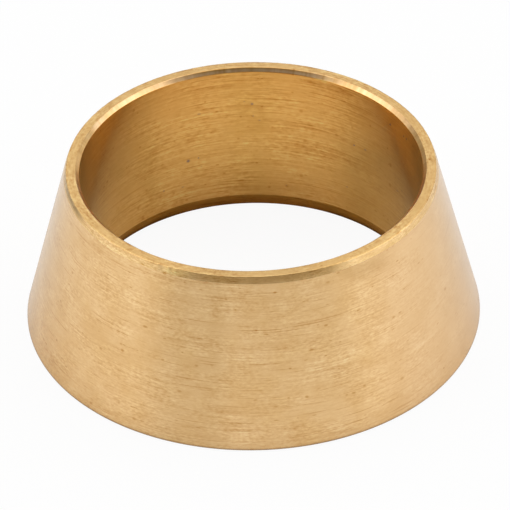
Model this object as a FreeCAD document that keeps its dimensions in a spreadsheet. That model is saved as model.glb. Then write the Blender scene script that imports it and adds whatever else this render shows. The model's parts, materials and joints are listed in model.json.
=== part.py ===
import FreeCAD, Part
import math
import os

import Sketcher

# Single-cone compression olive for a 22 mm pipe, turned in one piece from brass bar.
# The ring stands on its wide base with its axis on +Z, and the origin is the centre of the base.
# Lengths are in millimetres and angles in degrees.

LABEL = "olive"

SIZES = (
    ("pipe_diameter", 22.0, "outside diameter of the pipe that the ring slides over"),
    ("bore_clearance", 0.1, "how much wider the bore is than the pipe, on the diameter"),
    ("height", 11.4, "from the base to the nose land"),
    ("cone_angle", 15.0, "slope of the sealing cone, from the axis"),
    ("nose_length", 0.45, "height of the steeper nose above the sealing cone"),
    ("nose_angle", 20.0, "slope of the nose, from the axis"),
    ("land_width", 0.62, "flat ring left at the top, between the nose and the bore chamfer"),
    ("bore_chamfer", 0.23, "45 degree chamfer at the top of the bore"),
    ("lead_in_depth", 1.05, "height of the tapered mouth that lets the pipe in at the base"),
    ("lead_in_width", 0.45, "how far the mouth opens beyond the bore, on the radius"),
    ("edge_break", 0.1, "radius on the sharp outer edge of the base"),
)

# How a sketch numbers its own origin and X axis, and the two ends of a line.
SKETCH_FRAME = -1
LINE_START = 1
LINE_END = 2

EDGE_TOLERANCE = 1e-4


def make_sheet(doc):
    """The driving dimensions, one row each: name, value, meaning."""
    sheet = doc.addObject("Spreadsheet::Sheet", "Sizes")
    for row, (name, value, meaning) in enumerate(SIZES, start=1):
        sheet.set(f"A{row}", name)
        sheet.set(f"B{row}", str(value))
        sheet.set(f"C{row}", meaning)
        sheet.setAlias(f"B{row}", name)
    doc.recompute()
    return sheet


def section_corners(sheet):
    """Corners of the ring's section as (radius, height), in order from the mouth, before the chamfer."""
    bore_radius = (sheet.pipe_diameter + sheet.bore_clearance) / 2
    nose_radius = bore_radius + sheet.bore_chamfer + sheet.land_width
    cone_radius = nose_radius + sheet.nose_length * math.tan(math.radians(sheet.nose_angle))
    cone_height = sheet.height - sheet.nose_length
    base_radius = cone_radius + cone_height * math.tan(math.radians(sheet.cone_angle))
    return {
        "mouth": (bore_radius + sheet.lead_in_width, 0),
        "base_rim": (base_radius, 0),
        "cone_top": (cone_radius, cone_height),
        "nose_top": (nose_radius, sheet.height),
        "bore_top": (bore_radius, sheet.height),
        "bore_bottom": (bore_radius, sheet.lead_in_depth),
    }


def origin_plane(body, role):
    return next(feature for feature in body.Origin.OriginFeatures if feature.Role == role)


def add_section(body, corners):
    """Half of the section in the XZ plane, radius along X and height along Z, held by the sheet's sizes."""
    sketch = body.newObject("Sketcher::SketchObject", "RingSection")
    sketch.AttachmentSupport = [(origin_plane(body, "XZ_Plane"), "")]
    sketch.MapMode = "FlatFace"

    # One line from each corner to the next, so a corner is the start of the line with its number.
    points = [FreeCAD.Vector(radius, height, 0) for radius, height in corners.values()]
    for start, end in zip(points, points[1:] + points[:1]):
        sketch.addGeometry(Part.LineSegment(start, end), False)
    base, cone, nose, land, bore, mouth = lines = range(len(points))
    for line in lines:
        following = (line + 1) % len(lines)
        sketch.addConstraint(Sketcher.Constraint("Coincident", line, LINE_END, following, LINE_START))
    sketch.addConstraint(Sketcher.Constraint("PointOnObject", base, LINE_START, SKETCH_FRAME))
    sketch.addConstraint(Sketcher.Constraint("Horizontal", base))
    sketch.addConstraint(Sketcher.Constraint("Horizontal", land))
    sketch.addConstraint(Sketcher.Constraint("Vertical", bore))

    def bind(constraint, name, expression):
        sketch.renameConstraint(sketch.addConstraint(constraint), name)
        sketch.setExpression(f"Constraints.{name}", expression)

    # Each distance runs from the first corner to the second, to the right or upwards.
    corner_of = dict(zip(corners, lines), axis=SKETCH_FRAME)
    place_of = dict(zip(corners, points), axis=FreeCAD.Vector())
    distances = (
        ("bore_radius", "DistanceX", "axis", "bore_top", "(Sizes.pipe_diameter + Sizes.bore_clearance) / 2"),
        ("ring_height", "DistanceY", "base_rim", "nose_top", "Sizes.height"),
        ("land_and_chamfer", "DistanceX", "bore_top", "nose_top", "Sizes.land_width + Sizes.bore_chamfer"),
        ("nose_rise", "DistanceY", "cone_top", "nose_top", "Sizes.nose_length"),
        ("mouth_run", "DistanceX", "bore_bottom", "mouth", "Sizes.lead_in_width"),
        ("mouth_rise", "DistanceY", "mouth", "bore_bottom", "Sizes.lead_in_depth"),
    )
    for name, kind, first, second, expression in distances:
        step = place_of[second] - place_of[first]
        drawn = step.x if kind == "DistanceX" else step.y
        ends = (corner_of[first], LINE_START, corner_of[second], LINE_START)
        bind(Sketcher.Constraint(kind, *ends, drawn), name, expression)

    # A line's angle is counted from the X axis, so a slope from the axis has a right angle added.
    for name, line, slope in (("cone_slope", cone, "cone_angle"), ("nose_slope", nose, "nose_angle")):
        step = points[line + 1] - points[line]
        drawn = math.atan2(step.y, step.x)
        bind(Sketcher.Constraint("Angle", line, drawn), name, f"90 + Sizes.{slope}")
    return sketch


def circle_at(shape, radius, height):
    """Name of the round edge about Z with that radius at that height."""
    for number, edge in enumerate(shape.Edges, start=1):
        curve = edge.Curve
        if (
            isinstance(curve, Part.Circle)
            and abs(curve.Radius - radius) < EDGE_TOLERANCE
            and abs(curve.Center.z - height) < EDGE_TOLERANCE
        ):
            return f"Edge{number}"
    raise ValueError(f"the ring has no round edge of radius {radius} at height {height}")


def make_olive(doc, sheet):
    """One turned solid: the section swept round, the bore chamfered and the base rim eased."""
    corners = section_corners(sheet)
    body = doc.addObject("PartDesign::Body", "Olive")
    body.Label = LABEL
    section = add_section(body, corners)
    doc.recompute()

    ring = body.newObject("PartDesign::Revolution", "TurnedRing")
    ring.Profile = section
    ring.ReferenceAxis = (section, ["V_Axis"])
    ring.Angle = 360
    doc.recompute()

    chamfer = body.newObject("PartDesign::Chamfer", "BoreChamfer")
    chamfer.Base = (ring, [circle_at(ring.Shape, *corners["bore_top"])])
    chamfer.setExpression("Size", "Sizes.bore_chamfer")
    doc.recompute()

    rim = body.newObject("PartDesign::Fillet", "BaseRimEdge")
    rim.Base = (chamfer, [circle_at(chamfer.Shape, *corners["base_rim"])])
    rim.setExpression("Radius", "Sizes.edge_break")
    body.Tip = rim
    body.Placement = FreeCAD.Placement()
    doc.recompute()
    return body


def check(doc, subparts):
    """Stops the build if any object failed, or any sub-part isn't one valid solid."""
    for item in doc.Objects:
        if {"Invalid", "Error"} & set(item.State):
            raise RuntimeError(f"{item.Name} failed to build: {item.State}")
        if item.TypeId == "Sketcher::SketchObject" and not item.FullyConstrained:
            raise RuntimeError(f"{item.Name} isn't fully held by its constraints")
    for part in subparts:
        shape = part.Shape
        if shape.isNull() or not shape.isValid() or len(shape.Solids) != 1:
            raise RuntimeError(f"{part.Label} isn't one valid solid")


def main():
    doc = FreeCAD.newDocument("CompressionOlive")
    sheet = make_sheet(doc)
    subparts = [make_olive(doc, sheet)]
    check(doc, subparts)
    os.makedirs("parts", exist_ok=True)
    for part in subparts:
        part.Shape.exportStep(f"parts/{part.Label}.step")
        box = part.Shape.optimalBoundingBox()
        size = f"{box.XLength:.3f} x {box.YLength:.3f} x {box.ZLength:.3f} mm"
        print(f"{part.Label}: {size}, {part.Shape.Volume:.1f} mm3")


main()
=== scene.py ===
import json
import math

import bpy
import numpy as np
from mathutils import Matrix, Vector, noise


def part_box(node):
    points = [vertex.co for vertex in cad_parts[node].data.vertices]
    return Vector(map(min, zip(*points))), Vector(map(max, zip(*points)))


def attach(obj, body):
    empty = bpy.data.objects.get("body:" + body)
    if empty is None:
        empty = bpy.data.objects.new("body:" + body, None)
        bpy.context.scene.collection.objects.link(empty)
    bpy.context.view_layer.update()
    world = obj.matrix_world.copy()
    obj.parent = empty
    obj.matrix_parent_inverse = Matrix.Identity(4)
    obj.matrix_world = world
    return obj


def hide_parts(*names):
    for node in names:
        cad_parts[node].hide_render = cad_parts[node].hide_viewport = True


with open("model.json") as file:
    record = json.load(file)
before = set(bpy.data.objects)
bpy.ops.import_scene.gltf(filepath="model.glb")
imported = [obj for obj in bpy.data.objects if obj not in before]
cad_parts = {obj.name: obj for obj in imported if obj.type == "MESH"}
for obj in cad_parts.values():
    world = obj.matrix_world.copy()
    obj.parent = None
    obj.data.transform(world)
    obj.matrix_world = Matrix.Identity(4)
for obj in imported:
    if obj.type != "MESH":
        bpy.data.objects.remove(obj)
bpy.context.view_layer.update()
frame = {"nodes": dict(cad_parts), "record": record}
mm = 0.001  # the script's lengths are in millimetres, Blender's in metres
print("frame loaded:", sorted(frame["nodes"]))


# camera: above and in front of the ring, looking down into the bore
cameraSetup = {
    "elevation": 37.715,  # degrees above the floor
    "distance": 227.88,  # from the middle of the ring's base
    "aim": (0.154, 0.0, 4.157),
    "roll": -1.031,  # degrees
    "lens": 242.86,
    "sensor": 36.0,
    "nearest": 1.0,  # anything closer isn't drawn
}


def makeCamera(setup):
    up = math.radians(setup["elevation"])
    place = Vector((0, -math.cos(up), math.sin(up))) * setup["distance"]
    ahead = (Vector(setup["aim"]) - place).normalized()
    right = ahead.cross(Vector((0, 0, 1))).normalized()
    turn = Matrix((right, right.cross(ahead), -ahead)).transposed().to_4x4()
    turn = turn @ Matrix.Rotation(math.radians(setup["roll"]), 4, "Z")

    data = bpy.data.cameras.new("ringCamera")
    data.lens = setup["lens"]
    data.sensor_width = setup["sensor"]
    data.clip_start = setup["nearest"] * mm
    camera = bpy.data.objects.new("ringCamera", data)
    camera.matrix_world = Matrix.Translation(place * mm) @ turn
    bpy.context.scene.collection.objects.link(camera)
    bpy.context.scene.camera = camera
    print("camera:", setup["distance"], "mm away, lens", setup["lens"], "mm")


# the ring: one closed turned section, swept round Z
ringShape = {
    "coneAngle": 15.0,  # degrees from the axis
    "noseAngle": 20.0,
    "noseLength": 0.45,
    "landWidth": 0.62,
    "boreChamfer": 0.23,
    "leadInDepth": 1.05,
    "leadInWidth": 0.45,
    "edgeRadius": {  # how far each turned edge is eased
        "mouth": 0.04, "baseRim": 0.12, "coneTop": 0.08, "noseTop": 0.02,
        "landInner": 0.05, "boreTop": 0.05, "boreBottom": 0.04,
    },
    "steps": {  # rows of faces across each turned face
        "base": 5, "cone": 14, "nose": 4, "land": 5, "chamfer": 4, "bore": 12, "leadIn": 4,
    },
    "edgeSteps": 4,  # rows round each eased edge
    "segments": 1200,
    "wear": {  # how far the edges wander (radius, height), and the length of each wander
        "coneTop": [((-0.006, 0.024), 6.0), ((-0.003, 0.012), 0.9)],
        "noseTop": [((0.008, 0.0), 5.0), ((0.015, 0.0), 0.25)],
        "landInner": [((0.012, 0.0), 3.0), ((0.012, 0.0), 0.6)],
        "boreTop": [((0.0, 0.014), 4.0), ((0.0, 0.008), 0.7)],
        "boreBottom": [((0.0, 0.03), 5.0), ((0.0, 0.012), 0.8)],
    },
    "wearSeeds": (7.3, 3.1),  # steps from edge to edge and from wander to wander
    "wearRadius": 12.0,  # about that of the edges
    "ragged": {  # an edge with small bites along its front
        "edge": "noseTop", "move": (0.03, 0.0), "length": 0.4,
        "angles": (-26.0, -18.0, 22.0, 30.0), "seed": 83.0,
    },
    "rubbed": {  # an edge with rounder places
        "edge": "noseTop", "more": 0.03, "length": 2.5, "seed": 51.0,
    },
    "halfFill": 0.99,  # share of its half of the bake map that a half turn fills
}
finishOf = {  # each turned face's finish
    "base": "cone", "cone": "cone", "nose": "nose", "land": "land", "chamfer": "chamfer",
    "bore": "bore", "leadIn": "mouth",
}


def sectionCorners(shape):
    low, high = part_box("olive")
    height = (high.z - low.z) / mm
    bore = next(m for m in frame["record"]["mounts"] if m["name"] == "pipe_bore")
    boreRadius = bore["dims"]["r_mm"]
    noseRadius = boreRadius + shape["boreChamfer"] + shape["landWidth"]
    coneHeight = height - shape["noseLength"]
    coneRadius = noseRadius + shape["noseLength"] * math.tan(math.radians(shape["noseAngle"]))
    baseRadius = coneRadius + coneHeight * math.tan(math.radians(shape["coneAngle"]))
    return {  # (radius, height), going out along the base and up the cone
        "mouth": (boreRadius + shape["leadInWidth"], 0.0),
        "baseRim": (baseRadius, 0.0),
        "coneTop": (coneRadius, coneHeight),
        "noseTop": (noseRadius, height),
        "landInner": (boreRadius + shape["boreChamfer"], height),
        "boreTop": (boreRadius, height - shape["boreChamfer"]),
        "boreBottom": (boreRadius, shape["leadInDepth"]),
    }


def wander(turn, length, seed):
    # smooth random values round the ring, about -1 to 1, that meet where the turn closes
    reach = ringShape["wearRadius"] / length
    circle = [Vector((math.cos(a) * reach, math.sin(a) * reach, seed)) for a in turn]
    return np.array([noise.noise(point) for point in circle])


def wornCorners(shape, turn):
    corners = sectionCorners(shape).items()
    places = {name: np.tile(np.array(corner), (len(turn), 1)) for name, corner in corners}
    edgeSeed, moveSeed = shape["wearSeeds"]
    for i, (name, moves) in enumerate(shape["wear"].items()):
        for k, (move, length) in enumerate(moves):
            shift = wander(turn, length, edgeSeed * i + moveSeed * k)
            places[name] += shift[:, None] * np.array(move)
    ragged = shape["ragged"]
    side = (np.degrees(turn) + 270) % 360 - 180  # 0 in front, growing to the right
    share = np.interp(side, ragged["angles"], (0, 1, 1, 0))
    bites = np.clip(wander(turn, ragged["length"], ragged["seed"]), -1, 0) * share
    places[ragged["edge"]] += bites[:, None] * np.array(ragged["move"])
    return places


def easedEdge(before, corner, after, radius, steps):
    # points of a small arc that touches both faces, one arc for each place round the ring
    toBefore = (before - corner) / np.linalg.norm(before - corner, axis=-1, keepdims=True)
    toAfter = (after - corner) / np.linalg.norm(after - corner, axis=-1, keepdims=True)
    half = np.arccos(np.clip((toBefore * toAfter).sum(-1, keepdims=True), -1, 1)) / 2
    middle = toBefore + toAfter
    middle /= np.linalg.norm(middle, axis=-1, keepdims=True)
    centre = corner + middle * radius / np.sin(half)
    across = toBefore - toAfter
    across /= np.linalg.norm(across, axis=-1, keepdims=True)
    sweep = math.pi / 2 - half
    turns = [sweep * (1 - 2 * i / steps) for i in range(steps + 1)]
    return [centre + radius * (across * np.sin(a) - middle * np.cos(a)) for a in turns]


def sectionRows(shape, turn):
    # the rows of points as an array by row, segment and (radius, height), and the face each row starts
    corners = wornCorners(shape, turn)
    names, places = list(corners), list(corners.values())
    rubbed = shape["rubbed"]
    arcs = []
    for i, name in enumerate(names):
        before, after = places[i - 1], places[(i + 1) % len(names)]
        radius = np.full((len(turn), 1), shape["edgeRadius"][name])
        if name == rubbed["edge"]:
            rounder = np.clip(wander(turn, rubbed["length"], rubbed["seed"]), 0, None)
            radius += rubbed["more"] * rounder[:, None]
        arcs.append(easedEdge(before, places[i], after, radius, shape["edgeSteps"]))

    rows, rowFace = [], []
    for i, (face, steps) in enumerate(shape["steps"].items()):
        start, end = arcs[i][-1], arcs[(i + 1) % len(names)][0]
        # closer together near the edges
        shares = [(1 - math.cos(math.pi * k / steps)) / 2 for k in range(1, steps)]
        faceRows = arcs[i] + [start + (end - start) * share for share in shares]
        rows += faceRows
        rowFace += [face] * len(faceRows)
    return np.stack(rows), rowFace


def addBakeMap(mesh, shape, section, row, seg):
    # the ring rolled out flat as two half turns, one above the other
    half = shape["segments"] // 2
    lengths = np.linalg.norm(np.roll(section, -1, 0) - section, axis=-1).mean(-1)
    ends = np.concatenate([[0], np.cumsum(lengths)]) / lengths.sum()
    left = seg % half
    across = np.stack([left, left + 1, left + 1, left], -1) / half
    up = ends[np.stack([row, row, row + 1, row + 1], -1)]
    up = (up * shape["halfFill"] + seg[..., None] // half) / 2
    bakeMap = mesh.uv_layers.new(name="OFBake")
    bakeMap.data.foreach_set("uv", np.stack([across, up], -1).astype(np.float32).ravel())


def makeRing(shape, finishes):
    segments = shape["segments"]
    turn = np.arange(segments) * 2 * math.pi / segments
    section, rowFace = sectionRows(shape, turn)
    radius, height = section[..., 0], section[..., 1]
    points = np.stack([radius * np.cos(turn), radius * np.sin(turn), height], -1)
    rowCount = len(section)
    row, seg = np.meshgrid(np.arange(rowCount), np.arange(segments), indexing="ij")
    nextRow, nextSeg = (row + 1) % rowCount, (seg + 1) % segments
    quads = np.stack([row * segments + seg, row * segments + nextSeg,
                      nextRow * segments + nextSeg, nextRow * segments + seg], -1)

    mesh = bpy.data.meshes.new("turnedOlive")
    mesh.from_pydata((points * mm).reshape(-1, 3), [], quads.reshape(-1, 4).tolist())
    finishNames = list(finishes)
    slots = [finishNames.index(finishOf[face]) for face in rowFace]
    mesh.polygons.foreach_set("material_index", np.repeat(slots, segments))
    mesh.polygons.foreach_set("use_smooth", np.ones(len(mesh.polygons), bool))
    for finish in finishes.values():
        mesh.materials.append(finish)
    addBakeMap(mesh, shape, section, row, seg)
    mesh.update()

    ring = bpy.data.objects.new("turnedOlive", mesh)
    bpy.context.scene.collection.objects.link(ring)
    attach(ring, "root")
    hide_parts("olive")
    print("ring:", len(mesh.polygons), "faces")


# brass: marks are layers of (width in mm, how much longer round the ring, shade, depth in mm),
# smoothPart and brushed are angles round the ring as for the stains and painted light below,
# polish and haze are roughnesses, and edge is the tint at a grazing angle
fewPits = {"pitGap": 1.1, "pitSize": 0.1, "pitPart": 0.4, "pitStrength": 0.4}
brassLooks = {
    "cone": {
        "warm": (0.82, 0.512, 0.206), "pale": (0.90, 0.592, 0.270),
        "cloudSize": 2.6, "cloudStretch": 0.8,
        "marks": [(0.14, 1.8, 0.56, 0.0008), (0.11, 8.0, 0.20, 0.0005),
                  (0.09, 60.0, 0.42, 0.0006), (0.45, 2.5, 0.30, 0.0006)],
        "smoothPart": (26.0, 58.0, 150.0, 178.0),
        "brushed": (-130.0, -105.0, -70.0, -48.0),
        "dashWidth": 0.10, "dashStretch": 34.0, "dashLimit": 0.64, "dashStrength": 0.31,
        "pitGap": 0.9, "pitSize": 0.14, "pitPart": 0.28, "pitStrength": 0.36,
        "polish": 0.20, "haze": 0.37, "hazeShare": 0.35,
        "smear": 0.4, "coat": 0.7, "edge": (0.88, 0.90, 0.92),
    },
    "nose": {
        "warm": (0.80, 0.515, 0.21), "pale": (0.88, 0.60, 0.28),
        "cloudSize": 0.9, "cloudStretch": 2.0,
        "marks": [(0.10, 2.0, 0.70, 0.0020), (0.06, 10.0, 0.80, 0.0020), (0.50, 4.0, 0.40, 0.0008)],
        "dashWidth": 0.2, "dashStretch": 12.0, "dashLimit": 0.66, "dashStrength": 0.3,
        **fewPits,
        "polish": 0.30, "haze": 0.44, "hazeShare": 0.45,
        "smear": 0.4, "coat": 0.35, "edge": (0.88, 0.90, 0.92),
    },
    "land": {
        "warm": (0.80, 0.487, 0.165), "pale": (0.88, 0.556, 0.207),
        "cloudSize": 1.2, "cloudStretch": 1.5,
        "marks": [(0.20, 1.5, 0.85, 0.0027), (0.10, 10.0, 0.78, 0.0023)],
        "dashWidth": 0.2, "dashStretch": 8.0, "dashLimit": 0.67, "dashStrength": 0.25,
        **fewPits,
        "polish": 0.24, "haze": 0.38, "hazeShare": 0.35,
        "smear": 0.0, "coat": 0.5, "edge": (0.88, 0.90, 0.92),
    },
    "chamfer": {
        "warm": (0.81, 0.50, 0.21), "pale": (0.89, 0.585, 0.31),
        "cloudSize": 0.8, "cloudStretch": 2.0,
        "marks": [(0.20, 1.5, 0.60, 0.0010), (0.10, 10.0, 0.60, 0.0010)],
        "dashWidth": 0.2, "dashStretch": 8.0, "dashLimit": 0.66, "dashStrength": 0.2,
        **fewPits,
        "polish": 0.20, "haze": 0.37, "hazeShare": 0.55,
        "smear": 0.4, "coat": 0.25, "edge": (0.88, 0.90, 0.92),
    },
    "bore": {
        "warm": (0.82, 0.49, 0.13), "pale": (0.90, 0.55, 0.16),
        "cloudSize": 1.8, "cloudStretch": 1.5,
        "marks": [(0.18, 2.4, 0.58, 0.0006), (0.13, 10.0, 0.52, 0.0004), (0.11, 60.0, 0.74, 0.0004)],
        "smoothPart": (-154.0, -124.0, 124.0, 154.0),
        "dashWidth": 0.12, "dashStretch": 60.0, "dashLimit": 0.63, "dashStrength": 0.28,
        "pitGap": 1.0, "pitSize": 0.16, "pitPart": 0.4, "pitStrength": 0.30, "fleckPart": 0.1,
        "polish": 0.20, "haze": 0.37, "hazeShare": 0.35,
        "smear": 0.4, "coat": 0.2, "edge": (0.80, 0.88, 0.90),
    },
    # painted shade: the lead-in's brass is much darker than the rest, standing for the contact shadow that
    # it reflects
    "mouth": {
        "warm": (0.475, 0.242, 0.046), "pale": (0.625, 0.343, 0.074),
        "cloudSize": 1.5, "cloudStretch": 4.0,
        "marks": [(0.20, 1.5, 0.5, 0.0015), (0.12, 12.0, 0.5, 0.0015)],
        "dashWidth": 0.25, "dashStretch": 10.0, "dashLimit": 0.6, "dashStrength": 0.3,
        **fewPits,
        "polish": 0.26, "haze": 0.40, "hazeShare": 0.35,
        "smear": 0.4, "coat": 0.0, "edge": (0.78, 0.64, 0.48),
    },
}
allBrass = {  # what the finishes share
    "ringRadius": 13.0,  # about the middle of the metal, for lengths round the ring
    "cloudDetail": 4.0, "cloudRoughness": 0.6,
    "softLimits": (0.3, 0.7),  # noise values where clouds and patches begin and are full
    "patchSize": 1.5, "patchStretch": 2.0,  # patches where all the marks are stronger
    "patchLeast": 0.4, "patchGain": 1.2,
    "smoothing": 0.55,  # how far the marks fade in a face's smooth part
    "longLine": 20.0, "brushGain": 3.0,  # marks longer than this are deeper where a face is brushed
    "dashEdge": 0.06, "dashDepth": 0.0008,  # how softly a dash begins, and how deep it is in mm
    "pitStretch": 1.3, "pitSpread": 0.6,  # how much longer round the ring, and how far the sizes differ
    "pitEdge": (1.3, 0.4), "pitDepth": 0.0007,  # where a pit ends and is full, in shares of its size
    "chainGap": 0.36, "chainSize": 0.13, "chainPart": 0.6,  # small pits in chains
    "stringWidth": 0.3, "stringStretch": 16.0, "stringLimits": (0.57, 0.64),  # the lines the chains follow
    "grooveTint": (0.65, 1.0, 1.5),  # a mark takes least from the red and most from the blue
    "fleckGrey": (0.30, 0.25, 0.24),
    "polishSpread": 0.05,  # how far the clouds change the roughness
    "smearTurn": 0.25,  # a quarter turn
    "coatRoughness": 0.3,
}
seeds = {  # one for each random pattern; each layer of marks adds 1
    "clouds": 1.0, "marks": 2.0, "pits": 5.0, "dashes": 9.0, "patches": 15.0,
    "chains": 21.0, "strings": 33.0,
}
seedShift = (1.0, 1.7, 2.3)  # how far a seed moves a pattern, in X, Y and Z


def streak(angles, heights, colour, share, slant=0.0):
    # angles are in degrees, 0 in front and growing to the right: none, full, still full, none
    # heights are in mm from the top, minus downwards: none, full; slant is in degrees per mm upwards
    return {"angles": angles, "heights": heights, "colour": colour, "share": share, "slant": slant}


def bothSides(angles, heights, colour, share):
    mirrored = tuple(-a for a in reversed(angles))
    return [streak(angles, heights, colour, share), streak(mirrored, heights, colour, share)]


wholeTurn = (-181.0, -180.0, 180.0, 181.0)
wholeFace = (-12.0, -11.9)
# colour streaks along parts of the ring: stains, and painted shade, painted shadow and painted highlight,
# each marked below
stainsAndPaintedLight = {
    "cone": [
        # painted shadow: a dark line round the foot of the cone, where it meets the floor
        streak(wholeTurn, (-11.15, -11.32), (0.40, 0.22, 0.08), 0.7),
        # painted shade: a darker band down the cone just left of the front, standing for a dark reflection
        streak((-34.0, -20.0, -12.0, -4.0), wholeFace, (0.58, 0.36, 0.14), 0.28),
        # paler and greyer over the right of the cone
        streak((28.0, 48.0, 84.0, 110.0), wholeFace, (0.90, 0.61, 0.34), 0.35),
        streak((21.0, 27.0, 33.0, 43.0), (-2.0, -0.9), (0.58, 0.34, 0.12), 0.4, slant=4.0),
    ],
    "nose": [
        # a dark streak on the nose at the left
        streak((-97.0, -76.0, -69.0, -61.0), (-0.5, -0.12), (0.33, 0.19, 0.04), 0.85, slant=5.0),
        # painted shade: a darker, browner band across the front of the nose, standing for the dark front of
        # the room that it reflects
        streak((-34.0, -10.0, 16.0, 34.0), (-0.9, -0.1), (0.46, 0.21, 0.02), 0.55),
        # painted highlight: a bright yellow streak on the nose just left of the front
        streak((-29.0, -25.0, -23.0, -17.0), (-0.9, -0.1), (0.99, 0.66, 0.25), 0.8),
    ],
    "land": [
        # darker over the front of the land
        streak((-28.0, -8.0, 14.0, 26.0), wholeFace, (0.64, 0.40, 0.145), 0.45),
    ],
    "chamfer": [
        # browner, duller chamfer at the left and right: partly smudges, partly painted shade for the dark
        # surroundings it reflects
        streak((-120.0, -108.0, -86.0, -74.0), wholeFace, (0.66, 0.37, 0.04), 0.35),
        streak((74.0, 86.0, 102.0, 112.0), wholeFace, (0.66, 0.37, 0.04), 0.35),
        # painted shade: the top of the chamfer at the back is darker and browner, standing for the dark
        # front that it reflects
        *bothSides((150.0, 165.0, 180.0, 181.0), (-0.14, -0.03), (0.62, 0.28, 0.01), 0.55),
    ],
    "bore": [
        # painted highlight: the bore wall brighter and paler either side of the back
        *bothSides((140.0, 153.0, 166.0, 178.0), wholeFace, (0.97, 0.59, 0.18), 0.6),
        # painted shade: darker on the right side of the bore, from a little below the top downwards
        streak((94.0, 112.0, 138.0, 153.0), (-2.5, -5.5), (0.56, 0.34, 0.09), 0.4),
    ],
    # painted shadow: a very dark line along the foot of the lead-in on both sides towards the back, where
    # it meets the floor
    "mouth": bothSides((100.0, 118.0, 146.0, 160.0), (-10.8, -11.3), (0.16, 0.07, 0.015), 0.6),
}


def emptyMaterial(name):
    material = bpy.data.materials.new(name)
    material.use_nodes = True
    material.node_tree.nodes.clear()
    return material, material.node_tree


def addNode(tree, kind, inputs=None, **settings):
    made = tree.nodes.new("ShaderNode" + kind)
    for name, value in settings.items():
        setattr(made, name, value)
    for socket, value in (inputs or {}).items():
        if isinstance(value, bpy.types.NodeSocket):
            tree.links.new(value, made.inputs[socket])
        else:
            made.inputs[socket].default_value = value
    return made


def maths(tree, operation, a, b=0.0, c=0.0):
    return addNode(tree, "Math", {0: a, 1: b, 2: c}, operation=operation).outputs[0]


def stepUp(tree, value, low, high):
    # 0 at the low value and before it, 1 at the high one and past it, smooth between
    return addNode(tree, "MapRange", {"Value": value, "From Min": low, "From Max": high},
                   interpolation_type="SMOOTHSTEP").outputs[0]


def blend(tree, share, first, second):
    mix = addNode(tree, "Mix", data_type="RGBA")
    for socket, value in zip(("Factor", "A", "B"), (share, first, second)):
        at = next(i for i in mix.inputs if i.name == socket and i.enabled)
        if isinstance(value, bpy.types.NodeSocket):
            tree.links.new(value, at)
        else:
            at.default_value = (*value, 1) if isinstance(value, tuple) else value
    return next(o for o in mix.outputs if o.enabled)


def ringPlace(tree):
    # (cosine, sine, millimetres across the turned face), so nothing has a seam
    coords = addNode(tree, "TexCoord").outputs["Object"]
    inMm = addNode(tree, "VectorMath", {0: coords, "Scale": 1 / mm}, operation="SCALE").outputs[0]
    split = addNode(tree, "SeparateXYZ", {0: inMm}).outputs
    flat = addNode(tree, "CombineXYZ", {0: split[0], 1: split[1]}).outputs[0]
    radius = addNode(tree, "VectorMath", {0: flat}, operation="LENGTH").outputs["Value"]
    around = addNode(tree, "VectorMath", {0: flat}, operation="NORMALIZE").outputs[0]
    across = addNode(tree, "CombineXYZ", {2: maths(tree, "SUBTRACT", split[2], radius)}).outputs[0]
    return addNode(tree, "VectorMath", {0: around, 1: across}, operation="ADD").outputs[0]


def onRing(tree, place, size, stretch, seed):
    along = allBrass["ringRadius"] / (size * stretch)
    shift = tuple(seed * s for s in seedShift)
    return addNode(tree, "VectorMath", {0: place, 1: (along, along, 1 / size), 2: shift},
                   operation="MULTIPLY_ADD").outputs[0]


def marks(tree, place, size, stretch, seed, detail=2.0, rough=0.5):
    where = onRing(tree, place, size, stretch, seed)
    return addNode(tree, "TexNoise", {
        "Vector": where, "Scale": 1.0, "Detail": detail, "Roughness": rough,
    }).outputs[0]


def dots(tree, place, gap, size, seed):
    # round spots at random places, with three random values for each
    where = onRing(tree, place, gap, allBrass["pitStretch"], seed)
    cells = addNode(tree, "TexVoronoi", {"Vector": where, "Scale": 1.0}).outputs
    luck = addNode(tree, "SeparateColor", {0: cells["Color"]}).outputs
    spread = allBrass["pitSpread"]
    reach = maths(tree, "MULTIPLY_ADD", luck[1], spread * size / gap, (1 - spread) * size / gap)
    near = maths(tree, "DIVIDE", cells["Distance"], reach)
    return stepUp(tree, near, *allBrass["pitEdge"]), luck


def partOfTurn(tree, angles, slant=0.0):
    # 1 along part of the ring and 0 elsewhere, with the height from the top
    coords = addNode(tree, "TexCoord").outputs["Object"]
    split = addNode(tree, "SeparateXYZ", {0: coords}).outputs
    ahead = maths(tree, "MULTIPLY", split[1], -1.0)
    side = maths(tree, "DEGREES", maths(tree, "ARCTAN2", split[0], ahead))
    up = maths(tree, "SUBTRACT", split[2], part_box("olive")[1].z)
    side = maths(tree, "MULTIPLY_ADD", up, slant / mm, side)
    start, full, stillFull, end = angles
    share = maths(tree, "MULTIPLY", stepUp(tree, side, start, full), stepUp(tree, side, end, stillFull))
    return share, up


def addStainOrPaintedLight(tree, colour, stainOrPaintedLight):
    # a duller or paler streak along part of the ring; some are stains, and some are painted shade or a
    # painted highlight, as marked where they are listed
    share, up = partOfTurn(tree, stainOrPaintedLight["angles"], stainOrPaintedLight["slant"])
    none, most = stainOrPaintedLight["heights"]
    share = maths(tree, "MULTIPLY", share, stepUp(tree, up, none * mm, most * mm))
    return blend(tree, maths(tree, "MULTIPLY", share, stainOrPaintedLight["share"]), colour, stainOrPaintedLight["colour"])


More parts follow.
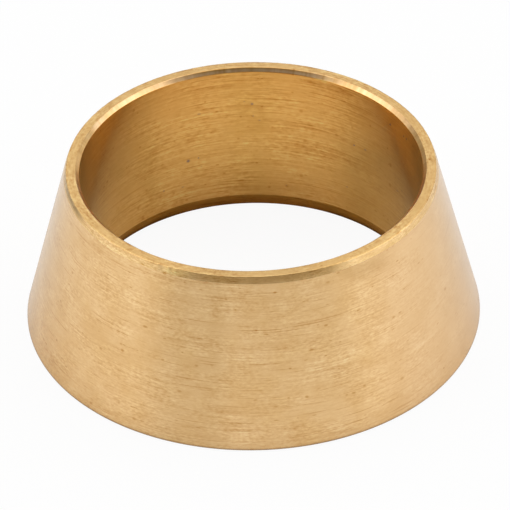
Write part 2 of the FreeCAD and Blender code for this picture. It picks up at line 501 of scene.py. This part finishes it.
def turningLines(tree, place, look):
    # tone and height of the grain, the turning lines and the dashes: low parts are darker
    patchNoise = marks(tree, place, allBrass["patchSize"], allBrass["patchStretch"], seeds["patches"])
    patches = stepUp(tree, patchNoise, *allBrass["softLimits"])
    amount = maths(tree, "MULTIPLY_ADD", patches, allBrass["patchGain"], allBrass["patchLeast"])
    plain, deeper = 1.0, 1.0
    if "smoothPart" in look:
        part = partOfTurn(tree, look["smoothPart"])[0]
        plain = maths(tree, "MULTIPLY_ADD", part, -allBrass["smoothing"], 1.0)
        amount = maths(tree, "MULTIPLY", amount, plain)
    if "brushed" in look:
        part = partOfTurn(tree, look["brushed"])[0]
        deeper = maths(tree, "MULTIPLY_ADD", part, allBrass["brushGain"], 1.0)

    tone, height = 0.0, 0.0
    for i, (width, stretch, shade, depth) in enumerate(look["marks"]):
        line = maths(tree, "SUBTRACT", marks(tree, place, width, stretch, seeds["marks"] + i), 0.5)
        line = maths(tree, "MULTIPLY", line, amount)
        tone = maths(tree, "MULTIPLY_ADD", line, shade, tone)
        if stretch > allBrass["longLine"]:
            line = maths(tree, "MULTIPLY", line, deeper)
        height = maths(tree, "MULTIPLY_ADD", line, depth, height)

    dashNoise = marks(tree, place, look["dashWidth"], look["dashStretch"], seeds["dashes"])
    dashes = stepUp(tree, dashNoise, look["dashLimit"], look["dashLimit"] + allBrass["dashEdge"])
    dashes = maths(tree, "MULTIPLY", dashes, plain)
    tone = maths(tree, "MULTIPLY_ADD", dashes, -look["dashStrength"], tone)
    height = maths(tree, "MULTIPLY_ADD", dashes, -allBrass["dashDepth"], height)
    return tone, height


def smallPits(tree, place, look):
    # some alone and some in chains along the turning lines, with the lone ones' random values
    pits, luck = dots(tree, place, look["pitGap"], look["pitSize"], seeds["pits"])
    pits = maths(tree, "MULTIPLY", pits, maths(tree, "LESS_THAN", luck[0], look["pitPart"]))
    chains, chainLuck = dots(tree, place, allBrass["chainGap"], allBrass["chainSize"], seeds["chains"])
    kept = maths(tree, "LESS_THAN", chainLuck[0], allBrass["chainPart"])
    chains = maths(tree, "MULTIPLY", chains, kept)
    stringNoise = marks(tree, place, allBrass["stringWidth"], allBrass["stringStretch"], seeds["strings"])
    chains = maths(tree, "MULTIPLY", chains, stepUp(tree, stringNoise, *allBrass["stringLimits"]))
    return maths(tree, "MAXIMUM", pits, chains), luck


def metalSurface(tree, look, colour, clouds, bump):
    # polished metal under a dull haze; the turning lines smear reflections across themselves
    tangent = addNode(tree, "Tangent", direction_type="RADIAL", axis="Z").outputs[0]
    spread = allBrass["polishSpread"]
    layers = []
    for roughness in (look["polish"], look["haze"]):
        rough = maths(tree, "MULTIPLY_ADD", clouds, spread, roughness - spread / 2)
        layers.append(addNode(tree, "BsdfPrincipled", {
            "Base Color": colour, "Metallic": 1.0, "Roughness": rough, "Normal": bump, "Tangent": tangent,
            "Anisotropic": look["smear"], "Anisotropic Rotation": allBrass["smearTurn"],
            "Specular Tint": (*look["edge"], 1),
            "Coat Weight": look["coat"], "Coat Roughness": allBrass["coatRoughness"],
        }).outputs[0])
    return addNode(tree, "MixShader", {0: look["hazeShare"], 1: layers[0], 2: layers[1]}).outputs[0]


def makeBrass(name, look):
    material, tree = emptyMaterial(name + "Brass")
    place = ringPlace(tree)
    clouds = marks(tree, place, look["cloudSize"], look["cloudStretch"], seeds["clouds"],
                   allBrass["cloudDetail"], allBrass["cloudRoughness"])
    colour = blend(tree, stepUp(tree, clouds, *allBrass["softLimits"]), look["warm"], look["pale"])
    for stainOrPaintedLight in stainsAndPaintedLight[name]:
        colour = addStainOrPaintedLight(tree, colour, stainOrPaintedLight)

    tone, height = turningLines(tree, place, look)
    pits, luck = smallPits(tree, place, look)
    tone = maths(tree, "MULTIPLY_ADD", pits, -look["pitStrength"], tone)
    height = maths(tree, "MULTIPLY_ADD", pits, -allBrass["pitDepth"], height)
    tint = addNode(tree, "VectorMath", {0: tone, 1: allBrass["grooveTint"], 2: (1, 1, 1)},
                   operation="MULTIPLY_ADD").outputs[0]
    colour = addNode(tree, "VectorMath", {0: colour, 1: tint}, operation="MULTIPLY").outputs[0]
    if "fleckPart" in look:
        flecks = maths(tree, "MULTIPLY", pits, maths(tree, "LESS_THAN", luck[2], look["fleckPart"]))
        colour = blend(tree, flecks, colour, allBrass["fleckGrey"])
    bump = addNode(tree, "Bump", {"Height": height, "Distance": mm, "Strength": 1.0}).outputs[0]

    addNode(tree, "OutputMaterial", {"Surface": metalSurface(tree, look, colour, clouds, bump)})
    print("finish:", name)
    return material


# studio: white floor, a tall soft box and a brighter strip at each side, a wide box overhead, one behind,
# a dim card in front and a small fill at each back corner
studio = {
    "floorSize": 4000.0,
    "floorGap": 0.02,  # below the ring's base
    "floorColour": 0.9,
    "seenWhite": {  # how much of the floor is plain white, to the camera, in the metal and through glass
        "Is Camera Ray": 0.93, "Is Glossy Ray": 0.04, "Is Transmission Ray": 0.93,
    },
    "roomLight": 0.15,
    "softBoxes": {  # middle, the way it faces, width and height, and how bright the cloth is
        "leftBox": {"middle": (-500, -75, 300), "faces": (1, 0, 0), "size": (750, 600), "glow": 0.95},
        "rightBox": {"middle": (500, -80, 300), "faces": (-1, 0, 0), "size": (740, 600), "glow": 1.23},
        "leftStrip": {"middle": (-480, -80, 320), "faces": (1, 0, 0), "size": (440, 320), "glow": 0.8},
        "rightStrip": {"middle": (480, -80, 320), "faces": (-1, 0, 0), "size": (440, 320), "glow": 0.45},
        "topBox": {"middle": (0, 240, 640), "faces": (0, 0, -1), "size": (960, 680), "glow": 1.65},
        "backBox": {"middle": (0, 700, 525), "faces": (0, -1, 0), "size": (900, 550), "glow": 0.60},
        "frontCard": {"middle": (40, -700, 110), "faces": (0, 1, 0), "size": (1000, 220), "glow": 0.3},
        "rightFill": {"middle": (530, 520, 140), "faces": (-0.7, -0.7, 0), "size": (330, 280), "glow": 0.8},
        "leftFill": {"middle": (-530, 480, 140), "faces": (0.7, -0.7, 0), "size": (330, 280), "glow": 0.3},
    },
}


def makeFloor(setup):
    half = setup["floorSize"] / 2 * mm
    z = -setup["floorGap"] * mm
    corners = [(-half, -half, z), (half, -half, z), (half, half, z), (-half, half, z)]
    mesh = bpy.data.meshes.new("studioFloor")
    mesh.from_pydata(corners, [], [(0, 1, 2, 3)])
    floor = bpy.data.objects.new("studioFloor", mesh)
    bpy.context.scene.collection.objects.link(floor)

    material, tree = emptyMaterial("studioFloor")
    paint = addNode(tree, "BsdfDiffuse", {"Color": (*[setup["floorColour"]] * 3, 1)}).outputs[0]
    white = addNode(tree, "Emission").outputs[0]
    path = addNode(tree, "LightPath").outputs
    shares = 0.0
    for ray, share in setup["seenWhite"].items():
        shares = maths(tree, "MULTIPLY_ADD", path[ray], share, shares)
    seen = addNode(tree, "MixShader", {0: shares, 1: paint, 2: white}).outputs[0]
    addNode(tree, "OutputMaterial", {"Surface": seen})
    mesh.materials.append(material)
    print("floor:", setup["floorSize"], "mm square")


def makeRoom(setup):
    world = bpy.data.worlds.new("dimRoom")
    world.use_nodes = True
    air = world.node_tree.nodes["Background"].inputs
    air["Color"].default_value = (1, 1, 1, 1)
    air["Strength"].default_value = setup["roomLight"]
    bpy.context.scene.world = world
    print("room light:", setup["roomLight"])


def makeLights(setup):
    for name, box in setup["softBoxes"].items():
        data = bpy.data.lights.new(name, "AREA")
        data.shape = "RECTANGLE"
        data.size, data.size_y = box["size"][0] * mm, box["size"][1] * mm
        data.energy = box["glow"] * math.pi * data.size * data.size_y
        lamp = bpy.data.objects.new(name, data)
        lamp.location = Vector(box["middle"]) * mm
        lamp.rotation_euler = Vector(box["faces"]).to_track_quat("-Z", "Y").to_euler()
        bpy.context.scene.collection.objects.link(lamp)
        print("lamp:", name)


makeCamera(cameraSetup)
finishes = {name: makeBrass(name, look) for name, look in brassLooks.items()}
makeRing(ringShape, finishes)
makeFloor(studio)
makeRoom(studio)
makeLights(studio)
bpy.context.scene.view_settings.view_transform = "Standard"
